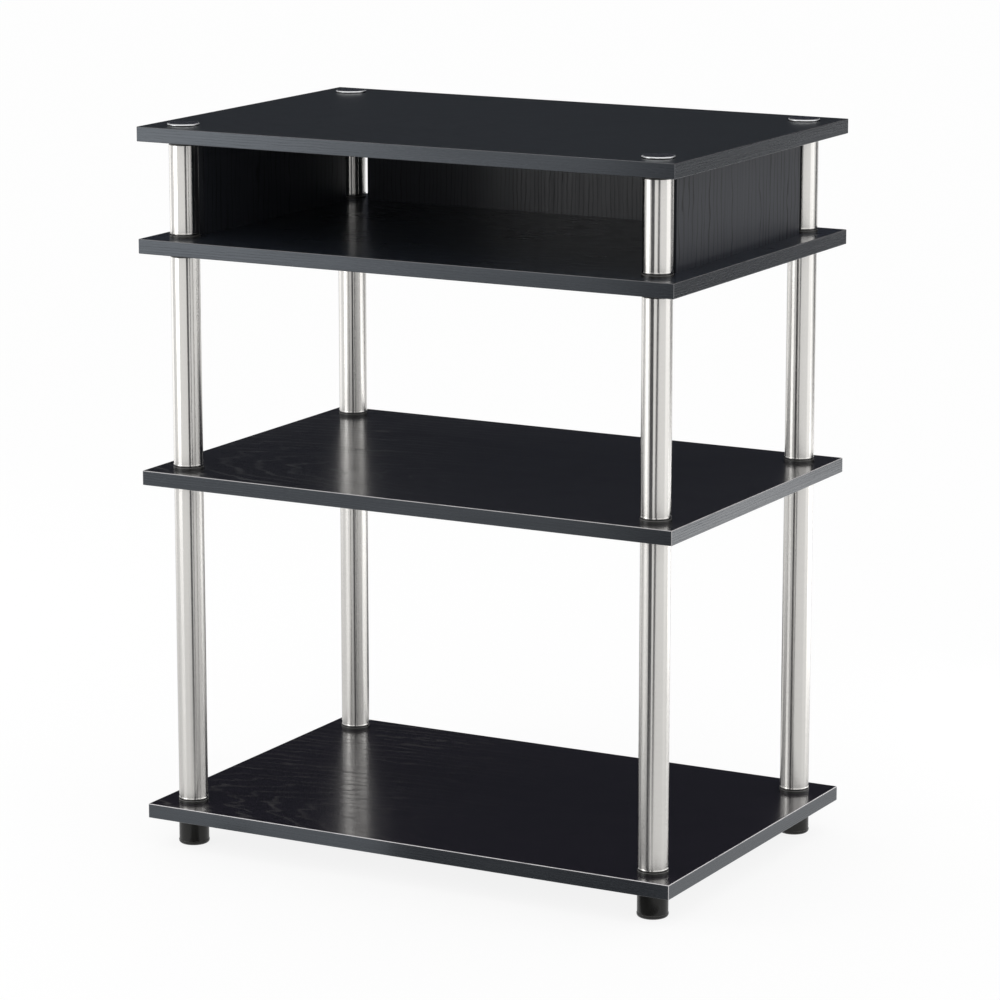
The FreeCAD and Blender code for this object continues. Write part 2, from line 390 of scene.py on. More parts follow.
class ArrisMask(Effect):
    """Mask of rounded upper edges, where a surface turns from upright to level.

    Edging and plastic paint a highlight on it, and chrome turns satin on it. Under says how much of that mask the
    lower edges have, and Upright how much the upright corners have.
    """

    NAME = "arris_mask"
    INPUTS = {"Place": (0.0, 0.0, 0.0), "Under": 0.0, "Upright": 0.0}
    OUTPUTS = ("Wear",)
    ARRIS_STEP = (0.03, 0.25)
    CORNER_STEP = (0.1, 0.35)
    PATCH_SPREAD = (40.0, 40.0, 40.0)
    PATCH_STEP = (0.2, 0.55)
    LEAST_MASK = 0.6

    def wire(self, graph: Graph, inputs: dict[str, Socket]) -> tuple[Socket, ...]:
        """Find the rounded edges and break the mask up unevenly along them.

        Args:
            graph: the group's own tree.
            inputs: the group's inputs by name.

        Returns:
            The socket of the mask, alone in a tuple.
        """
        normal = graph.axes(graph.add("ShaderNodeNewGeometry").outputs["Normal"])
        squares = graph.math("MULTIPLY_ADD", normal["X"], normal["X"],
                             graph.math("MULTIPLY", normal["Y"], normal["Y"]))
        level = graph.math("SQRT", squares)
        downward = graph.math("MULTIPLY", normal["Z"], -1.0)
        above = graph.ramp(graph.math("MINIMUM", normal["Z"], level), *self.ARRIS_STEP)
        below = graph.ramp(graph.math("MINIMUM", downward, level), *self.ARRIS_STEP)
        arris = graph.math("MULTIPLY_ADD", below, inputs["Under"], above)
        sides = graph.math("MINIMUM", graph.math("ABSOLUTE", normal["X"]), graph.math("ABSOLUTE", normal["Y"]))
        corner = graph.math("MULTIPLY", graph.ramp(sides, *self.CORNER_STEP), inputs["Upright"])
        arris = graph.math("MAXIMUM", arris, corner)
        uneven = graph.ramp(graph.noise(inputs["Place"], self.PATCH_SPREAD, detail=3.0), *self.PATCH_STEP)
        return (graph.math("MULTIPLY", arris, graph.between(uneven, self.LEAST_MASK, 1.0)),)


class MouldedSkin(Effect):
    """Fine leathery texture that a mould leaves on plastic."""

    NAME = "moulded_skin"
    INPUTS = {"Place": (0.0, 0.0, 0.0)}
    OUTPUTS = ("Skin",)
    GRAIN_SPREAD = (1500.0, 1500.0, 1500.0)

    def wire(self, graph: Graph, inputs: dict[str, Socket]) -> tuple[Socket, ...]:
        """Lay out the texture's grains."""
        return (graph.noise(inputs["Place"], self.GRAIN_SPREAD),)


@dataclass(frozen=True)
class Finish(ABC):
    """Finish of one kind of surface, worked out from the surface's own place."""

    name: str

    @abstractmethod
    def shade(self, graph: Graph, place: Socket, surface: bpy.types.Node) -> None:
        """Fill the sockets of the surface's shader.

        Args:
            graph: the material's tree.
            place: where on the piece, in metres.
            surface: the Principled shader.
        """

    def material(self) -> bpy.types.Material:
        """Make a material of the finish.

        Returns:
            The new material.
        """
        made = bpy.data.materials.new(self.name)
        made.use_nodes = True
        made.node_tree.nodes.clear()
        graph = Graph(made.node_tree)
        surface = graph.add("ShaderNodeBsdfPrincipled")
        graph.add("ShaderNodeOutputMaterial", {"Surface": surface.outputs[0]})
        self.shade(graph, graph.add("ShaderNodeTexCoord").outputs["Object"], surface)
        return made


@dataclass(frozen=True)
class LaminateFinish(Finish):
    """Black wood-grain laminate under a clear film that the grain breaks up.

    The grain has one strength at the start of the fade and another at its end, measured along the grain.
    """

    offset: Point
    grain: float
    faded_grain: float
    ground: Colour
    light: Colour
    ring: Colour
    run: GrainRun = GrainRun.OVER_THE_WIDTH
    heart: float = 0.03
    taper: float = 0.3
    ring_spacing: float = 0.013
    warp: float = 0.04
    fade: tuple[float, float] = (-0.2, 0.1)
    film: float = 1.0
    film_roughness: float = 0.16
    film_index: float = 1.7
    film_break: float = 0.9
    index: float = 1.3
    roughness: float = 0.32
    pore_roughness: float = 0.2
    haze_roughness: float = 0.03
    pore_depth: float = 0.00006

    def shade(self, graph: Graph, place: Socket, surface: bpy.types.Node) -> None:
        """Lay the grain over the face.

        Args:
            graph: the material's tree.
            place: where on the piece, in metres.
            surface: the Principled shader.
        """
        axes = graph.axes(place)
        shifted = [graph.math("ADD", axes[axis], shift) for axis, shift in zip(self.run.value, self.offset)]
        tone, rings, pores = WoodFigure().place(
            graph, Place=graph.vector(*shifted), Heart=self.heart, Taper=self.taper,
            Ring_Spacing=self.ring_spacing, Warp=self.warp,
        )
        faded = graph.ramp(axes[self.run.value[0]], *self.fade)
        strength = graph.between(faded, self.grain, self.faded_grain)
        rings = graph.math("MULTIPLY", rings, strength)
        lines = graph.math("MAXIMUM", rings, graph.math("MULTIPLY", pores, strength))
        haze, = HandlingHaze().place(graph, Place=place)
        smooth = graph.between(haze, self.roughness, self.roughness + self.haze_roughness)
        graph.feed(surface.inputs["Base Color"],
                   graph.tint(rings, graph.tint(tone, self.ground, self.light), self.ring))
        graph.feed(surface.inputs["Roughness"], graph.math("MULTIPLY_ADD", lines, self.pore_roughness, smooth))
        graph.feed(surface.inputs["Normal"], graph.relief(graph.math("SUBTRACT", 1.0, lines), self.pore_depth))
        graph.feed(surface.inputs["IOR"], self.index)
        if self.film > 0:
            broken = graph.math("MULTIPLY_ADD", lines, -self.film * self.film_break, self.film)
            graph.feed(surface.inputs["Coat Weight"], broken)
            graph.feed(surface.inputs["Coat Roughness"], self.film_roughness)
            graph.feed(surface.inputs["Coat IOR"], self.film_index)


@dataclass(frozen=True)
class EdgingFinish(Finish):
    """Black edging with a faint lengthwise grain, and a pale painted highlight along its rounded arrises."""

    arris_highlight: float
    index: float
    upright: bool = False
    ring_spacing: float = 0.0026
    warp: float = 0.003
    ground: Colour = (0.0090, 0.0100, 0.0120)
    streak: Colour = (0.0380, 0.0410, 0.0470)
    gloss_tint: Colour = (0.83, 0.91, 1.0)
    arris_highlight_colour: Colour = (0.86, 0.83, 0.83)
    satin: float = 0.26
    pore_roughness: float = 0.12
    arris_highlight_roughness: float = 0.5
    lower_highlight: float = 0.1
    corner_highlight: float = 0.9
    grain_depth: float = 0.00004

    def shade(self, graph: Graph, place: Socket, surface: bpy.types.Node) -> None:
        """Run the grain along the strip and paint a highlight on its arrises.

        Args:
            graph: the material's tree.
            place: where on the piece, in metres.
            surface: the Principled shader.
        """
        axes = graph.axes(place)
        level = graph.math("ADD", axes["X"], axes["Y"])
        along, across = (axes["Z"], level) if self.upright else (level, axes["Z"])
        tone, rings, pores = WoodFigure().place(
            graph, Place=graph.vector(along, across, 0.0), Heart=0.0, Taper=0.0,
            Ring_Spacing=self.ring_spacing, Warp=self.warp,
        )
        # Painted highlight: the rounded arrises, the upper ones most, are tinted pale, on each board as much as it
        # catches the light.
        highlight_mask, = ArrisMask().place(graph, Place=place, Under=self.lower_highlight, Upright=self.corner_highlight)
        highlight_share = graph.math("MULTIPLY", highlight_mask, self.arris_highlight)
        lines = graph.math("MAXIMUM", rings, pores)
        grain = graph.tint(lines, graph.tint(tone, self.streak, self.ground), self.ground)
        graph.feed(surface.inputs["Base Color"], graph.tint(highlight_share, grain, self.arris_highlight_colour))
        rough = graph.math("MULTIPLY_ADD", lines, self.pore_roughness, self.satin)
        graph.feed(surface.inputs["Roughness"], graph.between(highlight_share, rough, self.arris_highlight_roughness))
        graph.feed(surface.inputs["IOR"], self.index)
        graph.feed(surface.inputs["Specular Tint"], self.gloss_tint)
        graph.feed(surface.inputs["Normal"], graph.relief(graph.math("SUBTRACT", 1.0, lines), self.grain_depth))


@dataclass(frozen=True)
class BrushedSteelFinish(Finish):
    """Steel that is brushed round and round, so that it mirrors sharply across and blurs up and down."""

    colour: Colour = (0.74, 0.725, 0.70)
    shadow: Colour = (0.65, 0.635, 0.61)
    roughness: float = 0.18
    line_roughness: float = 0.08
    haze_roughness: float = 0.03
    anisotropy: float = 1.0
    brushing_turn: float = 0.25
    line_depth: float = 0.000004

    def shade(self, graph: Graph, place: Socket, surface: bpy.types.Node) -> None:
        """Brush the piece about its own upright axis.

        Args:
            graph: the material's tree.
            place: where on the piece, in metres.
            surface: the Principled shader.
        """
        lines, = BrushedLines().place(graph, Place=place)
        haze, = HandlingHaze().place(graph, Place=place)
        base = graph.between(haze, self.roughness, self.roughness + self.haze_roughness)
        graph.feed(surface.inputs["Base Color"], graph.tint(lines, self.shadow, self.colour))
        graph.feed(surface.inputs["Metallic"], 1.0)
        graph.feed(surface.inputs["Roughness"], graph.math("MULTIPLY_ADD", lines, self.line_roughness, base))
        graph.feed(surface.inputs["Anisotropic"], self.anisotropy)
        graph.feed(surface.inputs["Anisotropic Rotation"], self.brushing_turn)
        tangent = graph.add("ShaderNodeTangent", direction_type="RADIAL", axis="Z")
        graph.feed(surface.inputs["Tangent"], tangent.outputs[0])
        graph.feed(surface.inputs["Normal"], graph.relief(lines, self.line_depth))


@dataclass(frozen=True)
class ChromeFinish(Finish):
    """Bright chrome plating with faint handling marks, a satin shoulder and a painted dark line of shade at its foot.
    """

    foot: float
    foot_shade_height: float = 0.0008
    foot_shade_fade: float = 0.0003
    colour: Colour = (0.90, 0.91, 0.92)
    dulled: Colour = (0.84, 0.85, 0.86)
    foot_shade: Colour = (0.020, 0.020, 0.021)
    metal: float = 0.97
    shoulder_metal: float = 0.7
    polish: float = 0.05
    dulled_roughness: float = 0.1
    shoulder_roughness: float = 0.42
    ripple_depth: float = 0.000002

    def shade(self, graph: Graph, place: Socket, surface: bpy.types.Node) -> None:
        """Dull the plating a little where it is handled, and paint a dark band of shade at its foot.

        Args:
            graph: the material's tree.
            place: where on the piece, in metres.
            surface: the Principled shader.
        """
        haze, = HandlingHaze().place(graph, Place=place)
        lines, = BrushedLines().place(graph, Place=place)
        shoulder, = ArrisMask().place(graph, Place=place)
        # Painted shade: a dark band at the foot of the cap, where its side mirrors the black board.
        line = self.foot + self.foot_shade_height
        foot_shade = graph.ramp(graph.axes(place)["Z"], line + self.foot_shade_fade, line)
        plating = graph.tint(haze, self.colour, self.dulled)
        graph.feed(surface.inputs["Base Color"], graph.tint(foot_shade, plating, self.foot_shade))
        graph.feed(surface.inputs["Metallic"], graph.between(shoulder, self.metal, self.shoulder_metal))
        face = graph.between(haze, self.polish, self.dulled_roughness)
        graph.feed(surface.inputs["Roughness"], graph.between(shoulder, face, self.shoulder_roughness))
        graph.feed(surface.inputs["Normal"], graph.relief(lines, self.ripple_depth))


@dataclass(frozen=True)
class PlatedSteelFinish(Finish):
    """Zinc plating, dulled in patches."""

    colour: Colour = (0.6, 0.61, 0.62)
    dulled: Colour = (0.42, 0.42, 0.41)
    roughness: float = 0.3
    dulled_roughness: float = 0.5
    line_depth: float = 0.000005

    def shade(self, graph: Graph, place: Socket, surface: bpy.types.Node) -> None:
        """Dull the plating in patches.

        Args:
            graph: the material's tree.
            place: where on the piece, in metres.
            surface: the Principled shader.
        """
        haze, = HandlingHaze().place(graph, Place=place)
        lines, = BrushedLines().place(graph, Place=place)
        graph.feed(surface.inputs["Base Color"], graph.tint(haze, self.colour, self.dulled))
        graph.feed(surface.inputs["Metallic"], 1.0)
        graph.feed(surface.inputs["Roughness"], graph.between(haze, self.roughness, self.dulled_roughness))
        graph.feed(surface.inputs["Normal"], graph.relief(lines, self.line_depth))


@dataclass(frozen=True)
class MouldedPlasticFinish(Finish):
    """Black moulded plastic, with a pale painted highlight on its rounded edges."""

    colour: Colour = (0.0035, 0.0035, 0.0037)
    dusty: Colour = (0.007, 0.007, 0.0067)
    edge_highlight_colour: Colour = (0.16, 0.155, 0.15)
    roughness: float = 0.24
    dusty_roughness: float = 0.34
    edge_highlight_strength: float = 0.6
    index: float = 1.5
    skin_depth: float = 0.00001

    def shade(self, graph: Graph, place: Socket, surface: bpy.types.Node) -> None:
        """Texture the plastic, dust it and paint a highlight on its edges.

        Args:
            graph: the material's tree.
            place: where on the piece, in metres.
            surface: the Principled shader.
        """
        haze, = HandlingHaze().place(graph, Place=place)
        skin, = MouldedSkin().place(graph, Place=place)
        # Painted highlight: the rounded upper edges are tinted pale grey.
        highlight_mask, = ArrisMask().place(graph, Place=place)
        highlight_share = graph.math("MULTIPLY", highlight_mask, self.edge_highlight_strength)
        colour = graph.tint(haze, self.colour, self.dusty)
        graph.feed(surface.inputs["Base Color"], graph.tint(highlight_share, colour, self.edge_highlight_colour))
        graph.feed(surface.inputs["Roughness"], graph.between(haze, self.roughness, self.dusty_roughness))
        graph.feed(surface.inputs["IOR"], self.index)
        graph.feed(surface.inputs["Normal"], graph.relief(skin, self.skin_depth))


@dataclass(frozen=True)
class DowelWoodFinish(Finish):
    """Pale turned beech."""

    ground: Colour = (0.42, 0.27, 0.15)
    light: Colour = (0.58, 0.41, 0.25)
    pore: Colour = (0.25, 0.14, 0.07)
    heart: float = 0.1
    taper: float = 0.05
    ring_spacing: float = 0.0025
    warp: float = 0.01
    roughness: float = 0.6
    pore_roughness: float = 0.15
    pore_depth: float = 0.00005

    def shade(self, graph: Graph, place: Socket, surface: bpy.types.Node) -> None:
        """Run the grain along the upright pin.

        Args:
            graph: the material's tree.
            place: where on the piece, in metres.
            surface: the Principled shader.
        """
        axes = graph.axes(place)
        tone, rings, pores = WoodFigure().place(
            graph, Place=graph.vector(axes["Z"], axes["X"], axes["Y"]), Heart=self.heart, Taper=self.taper,
            Ring_Spacing=self.ring_spacing, Warp=self.warp,
        )
        grown = graph.tint(rings, graph.tint(tone, self.ground, self.light), self.ground)
        graph.feed(surface.inputs["Base Color"], graph.tint(pores, grown, self.pore))
        rough = graph.math("MULTIPLY_ADD", pores, self.pore_roughness, self.roughness)
        graph.feed(surface.inputs["Roughness"], rough)
        graph.feed(surface.inputs["Normal"], graph.relief(graph.math("SUBTRACT", 1.0, pores), self.pore_depth))


@dataclass
class PackedStand:
    """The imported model: its nodes, and the box that it fills."""

    nodes: dict[str, bpy.types.Object]
    box: tuple[Vector, Vector]

    def dress(self, name: str, material: bpy.types.Material) -> None:
        """Give a node its finish, in its one material slot."""
        self.nodes[name].material_slots[0].material = material
        LOG.info("%s: dressed in %s", name, material.name)

    def axis(self, corner: Corner) -> Plan:
        """Where the tubes of a corner stand on the floor plan.

        Args:
            corner: which corner.

        Returns:
            The middle of its lower tube, along X and Y.
        """
        low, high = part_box(f"{Tier.LOWER.value}_tube_{corner.value}")
        middle = (low + high) / 2
        return middle.x, middle.y


@dataclass(frozen=True)
class BoardLook:
    """What tells one board from the next.

    The offset, along and across the grain, puts another stretch of the figure on it. Grain and faded grain say how
    strongly that shows at its left and at its right, the film roughness how sharply the face mirrors, the arris
    highlight how pale the painted highlight along its arrises is and the edge index how much the edges shine. Ground
    and light are the two tones of the laminate, ring the tone of its rings; they are set board by board to how lit
    each board looks, so they carry painted light and shade besides the laminate's own colour.
    """

    offset: Point
    grain: float
    faded_grain: float
    film_roughness: float
    arris_highlight: float
    edge_index: float
    ground: Colour
    light: Colour
    ring: Colour


@dataclass
class BoardStack:
    """The four boards and the strips on their edges."""

    stand: PackedStand
    # Painted light and shade: each board's tones and the pale highlight along its arrises are set to how lit that
    # board looks.
    looks: dict[str, BoardLook] = field(default_factory=lambda: {
        "bottom_shelf": BoardLook(
            offset=(0.0, 0.14, 0.0), grain=1.0, faded_grain=0.05, film_roughness=0.17, arris_highlight=1.0, edge_index=1.82,
            ground=(0.0085, 0.0062, 0.0105), light=(0.0101, 0.0074, 0.0121), ring=(0.0600, 0.0580, 0.0600)),
        "middle_shelf": BoardLook(
            offset=(0.03, 0.1, 0.4), grain=0.9, faded_grain=0.05, film_roughness=0.17, arris_highlight=0.75, edge_index=1.53,
            ground=(0.0155, 0.0150, 0.0171), light=(0.0175, 0.0170, 0.0191), ring=(0.1000, 0.1020, 0.1050)),
        "upper_shelf": BoardLook(
            offset=(0.5, -0.06, 0.8), grain=0.6, faded_grain=0.5, film_roughness=0.18, arris_highlight=0.18, edge_index=1.58,
            ground=(0.0205, 0.0260, 0.0370), light=(0.0275, 0.0330, 0.0440), ring=(0.0060, 0.0080, 0.0110)),
        "top_board": BoardLook(
            offset=(-0.35, 0.05, 1.2), grain=0.12, faded_grain=0.08, film_roughness=0.3, arris_highlight=0.1, edge_index=1.60,
            ground=(0.0202, 0.0252, 0.0277), light=(0.0217, 0.0267, 0.0292), ring=(0.0250, 0.0280, 0.0300)),
    })

    def dress(self) -> None:
        """Finish every board and its strips."""
        for name, look in self.looks.items():
            face = LaminateFinish(
                f"laminate_of_{name}", offset=look.offset, grain=look.grain, faded_grain=look.faded_grain,
                film_roughness=look.film_roughness, ground=look.ground, light=look.light, ring=look.ring,
            )
            self.stand.dress(name, face.material())
            strip = EdgingFinish(f"edging_of_{name}", arris_highlight=look.arris_highlight, index=look.edge_index)
            self.stand.dress(f"{name}_edging", strip.material())


@dataclass
class Compartment:
    """The three panels under the top board, their strips and the dowels that hold them."""

    stand: PackedStand
    arris_highlight: float = 0.0
    grain: float = 1.0
    ring_spacing: float = 0.008
    back_ring_spacing: float = 0.0045
    edge_index: float = 1.15
    taper: float = 0.03
    heart: float = 0.3
    warp: float = 0.02
    offset: Point = (0.0, 0.6, 0.0)
    pore_depth: float = 0.00002
    index: float = 1.5
    # Painted light and shade: the panels' ground, light and ring are set to how lit the panels look, over the
    # laminate's own colour.
    ground: Colour = (0.0260, 0.0290, 0.0370)
    light: Colour = (0.0330, 0.0360, 0.0450)
    ring: Colour = (0.0050, 0.0055, 0.0070)

    def dress(self) -> None:
        """Finish the panels with upright grain."""
        panels = {
            "left_panel": (GrainRun.UPRIGHT_ON_A_SIDE, self.ring_spacing),
            "right_panel": (GrainRun.UPRIGHT_ON_A_SIDE, self.ring_spacing),
            "back_panel": (GrainRun.UPRIGHT_ON_THE_BACK, self.back_ring_spacing),
        }
        for name, (run, spacing) in panels.items():
            finish = LaminateFinish(
                f"laminate_of_{name}", run=run, offset=self.offset, heart=self.heart, taper=self.taper,
                ring_spacing=spacing, warp=self.warp, ground=self.ground, light=self.light,
                ring=self.ring, film=0.0, index=self.index, pore_depth=self.pore_depth, grain=self.grain,
                faded_grain=self.grain,
            )
            self.stand.dress(name, finish.material())
        strips = EdgingFinish("edging_of_panels", arris_highlight=self.arris_highlight, index=self.edge_index, upright=True)
        self.stand.dress("panel_edging", strips.material())
        self.stand.dress("panel_dowels", DowelWoodFinish("dowel_beech").material())


@dataclass
class ScrewThread:
    """Metric thread cut on a rod, as one helix with eased ends."""

    pitch: float = 0.00175
    depth: float = 0.00107
    crest_share: float = 1 / 8
    root_share: float = 1 / 4
    end_ease: float = 0.0004
    steps: int = 48

    def cut(self, mesh: bmesh.types.BMesh, axis: Plan, low: float, high: float, crest: float) -> None:
        """Add one threaded rod to a mesh.

        Args:
            mesh: what the rod is added to.
            axis: where the rod stands on the floor plan.
            low: height of its lower end.
            high: height of its upper end.
            crest: radius over the thread.
        """
        root = crest - self.depth
        flank = (1 - self.crest_share - self.root_share) / 2
        form = [(0.0, root), (flank, crest), (flank + self.crest_share, crest), (1 - self.root_share, root)]
        turns = math.ceil((high - low) / self.pitch) + 1
        rows = [(turn + phase, radius) for turn in range(-1, turns) for phase, radius in form]
        columns = []
        for step in range(self.steps):
            share = step / self.steps
            column = []
            for phase, radius in rows:
                height = min(max(low + (phase + share) * self.pitch, low), high)
                eased = root - self.end_ease + min(height - low, high - height)
                reach = min(radius, eased)
                column.append(mesh.verts.new((
                    axis[0] + reach * math.cos(share * FULL_TURN),
                    axis[1] + reach * math.sin(share * FULL_TURN),
                    height,
                )))
            columns.append(column)
        for step, column in enumerate(columns):
            last = step == self.steps - 1
            lead = len(form) if last else 0
            beside = columns[(step + 1) % self.steps]
            for row in range(len(rows) - 1 - lead):
                mesh.faces.new((column[row], beside[row + lead], beside[row + lead + 1], column[row + 1]))


@dataclass
class Studs:
    """Threaded rods that join the tubes, the caps and the feet, with the real helix of their threads."""

    stand: PackedStand
    thread: ScrewThread = field(default_factory=ScrewThread)
    weld: float = 0.000002

    def piece(self, name: str, rods: list[Rod]) -> bpy.types.Object:
        """One object of threaded rods.

        Args:
            name: what the object is called.
            rods: the axis, lower end, upper end and radius of each rod.

        Returns:
            The new object, linked to the scene.
        """
        mesh = bmesh.new()
        for rod in rods:
            self.thread.cut(mesh, *rod)
        bmesh.ops.remove_doubles(mesh, verts=mesh.verts, dist=self.weld)
        open_edges = [edge for edge in mesh.edges if edge.is_boundary]
        bmesh.ops.holes_fill(mesh, edges=open_edges, sides=0)
        bmesh.ops.recalc_face_normals(mesh, faces=mesh.faces)
        data = bpy.data.meshes.new(name)
        mesh.to_mesh(data)
        mesh.free()
        made = bpy.data.objects.new(name, data)
        bpy.context.scene.collection.objects.link(made)
        return made

    def build(self) -> None:
        """Cut every stud and put it in the place of its plain one."""
        material = PlatedSteelFinish("plated_thread").material()
        cap_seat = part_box("top_board")[1].z
        low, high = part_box(f"cap_stud_{Corner.BACK_RIGHT.value}")
        crest = (high.x - low.x) / 2
        for corner in Corner:
            node = f"cap_stud_{corner.value}"
            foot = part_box(node)[0].z
            rod = (self.stand.axis(corner), foot, cap_seat, crest)
            self.fit(self.piece(f"{node}_thread", [rod]), node, node, material)
        for tier in Tier:
            node = f"{tier.value}_studs"
            low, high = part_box(node)
            rods = [(self.stand.axis(corner), low.z, high.z, crest) for corner in Corner]
            self.fit(self.piece(f"{node}_thread", rods), node, "stand", material)

    def fit(self, piece: bpy.types.Object, node: str, body: str, material: bpy.types.Material) -> None:
        """Put a threaded piece in the place of a plain node.

        Args:
            piece: the threaded piece.
            node: the plain node that it stands for.
            body: the body that it moves with.
            material: its finish.
        """
        piece.data.materials.append(material)
        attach(piece, body)
        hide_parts(node)
        LOG.info("%s: threaded, in the place of %s", piece.name, node)


@dataclass
class TubeColumns:
    """Tubes, collars and inserts of the three tiers."""

    stand: PackedStand

    def dress(self) -> None:
        """Finish the steel and the plastic of every column."""
        steel = BrushedSteelFinish("brushed_stainless").material()
        plastic = MouldedPlasticFinish(
            "collar_plastic", colour=(0.022, 0.022, 0.021), dusty=(0.032, 0.032, 0.031), edge_highlight_colour=(0.15, 0.145, 0.14),
        ).material()
        shaded = MouldedPlasticFinish("insert_plastic", roughness=0.5, dusty_roughness=0.6, edge_highlight_strength=0.0).material()
        for tier in Tier:
            for corner in Corner:
                self.stand.dress(f"{tier.value}_tube_{corner.value}", steel)
                self.stand.dress(f"{tier.value}_collar_{corner.value}", plastic)
            self.stand.dress(f"{tier.value}_tube_inserts", shaded)


@dataclass
class ScrewedEnds:
    """Caps on the top board and feet under the bottom shelf, which are screwed on by hand."""

    stand: PackedStand

    def dress(self) -> None:
        """Finish the caps, the feet and the bushes inside the feet."""
        chrome = ChromeFinish("cap_chrome", foot=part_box("top_board")[1].z).material()
        plastic = MouldedPlasticFinish(
            "foot_plastic", colour=(0.010, 0.010, 0.009), dusty=(0.014, 0.014, 0.012), roughness=0.27,
            dusty_roughness=0.33, index=1.42,
        ).material()
        plated = PlatedSteelFinish("bush_plating").material()
        for corner in Corner:
            self.stand.dress(f"cap_{corner.value}", chrome)
            self.stand.dress(f"foot_{corner.value}", plastic)
            self.stand.dress(f"foot_bush_{corner.value}", plated)


@dataclass(frozen=True)
class Softbox:
    """Soft rectangular lamp that faces a point."""

    name: str
    place: Point
    aim: Point
    width: float
    height: float
    radiance: float

    def hang(self) -> None:
        """Put the lamp into the scene, out of the camera's sight."""
        lamp = bpy.data.lights.new(self.name, "AREA")
        lamp.shape = "RECTANGLE"
        lamp.size = self.width
        lamp.size_y = self.height
        lamp.energy = self.radiance * math.pi * self.width * self.height
        hung = bpy.data.objects.new(self.name, lamp)
        hung.location = self.place
        hung.rotation_euler = (Vector(self.aim) - Vector(self.place)).to_track_quat("-Z", "Y").to_euler()
        hung.visible_camera = False
        bpy.context.scene.collection.objects.link(hung)
        LOG.info("%s: softbox of radiance %.2f", self.name, self.radiance)


def stage_piece(name: str, points: list[Point], faces: list[tuple[int, ...]],
                material: bpy.types.Material) -> bpy.types.Object:
    """Piece of the studio, which isn't part of the stand.

    Args:
        name: what it is called.
        points: its corners.
        faces: its faces, by the numbers of their corners.
        material: its finish.

    Returns:
        The new object.
    """
    data = bpy.data.meshes.new(name)
    data.from_pydata(points, [], faces)
    data.materials.append(material)
    made = bpy.data.objects.new(name, data)
    bpy.context.scene.collection.objects.link(made)
    made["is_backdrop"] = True
    LOG.info("%s: piece of the studio", name)
    return made


def show_in_reflections(piece: bpy.types.Object) -> None:
    """Let reflections alone see a piece of the studio.

    Args:
        piece: the card or the felt.
    """
    piece.visible_camera = False
    piece.visible_diffuse = False
    piece.visible_transmission = False
    piece.visible_volume_scatter = False
    piece.visible_shadow = False


@dataclass(frozen=True)
class Flag:
    """Card that only reflections see, by the floor plan of two opposite edges and the height of each.

    It lies just above the floor unless other heights are given.
    """

    name: str
    foot: tuple[Plan, Plan]
    head: tuple[Plan, Plan]
    low: float = 0.003
    high: float = 0.003

    def put_up(self, cover: bpy.types.Material) -> None:
        """Put the card into the scene.

        Args:
            cover: what the card is covered with.
        """
        points = [(*place, self.low) for place in self.foot]
        points += [(*place, self.high) for place in reversed(self.head)]
        show_in_reflections(stage_piece(self.name, points, [(0, 1, 2, 3)], cover))


@dataclass(frozen=True)
class DrapeArc:
    """Arc of felt that hangs far round the stand, by the direction of its middle from +X."""

    name: str
    middle_deg: float
    sweep_deg: float
    radius: float
    height: float
    steps: int = 72

    def hang(self, felt: bpy.types.Material) -> None:
        """Put the felt where the level faces mirror it.

        Args:
            felt: what it is made of.
        """
        start_deg = self.middle_deg - self.sweep_deg / 2
        points = []
        for height in (0.0, self.height):
            for step in range(self.steps + 1):
                angle = math.radians(start_deg + self.sweep_deg * step / self.steps)
                points.append((self.radius * math.cos(angle), self.radius * math.sin(angle), height))
        row = self.steps + 1
        faces = [(step, step + 1, step + 1 + row, step + row) for step in range(self.steps)]
        show_in_reflections(stage_piece(self.name, points, faces, felt))


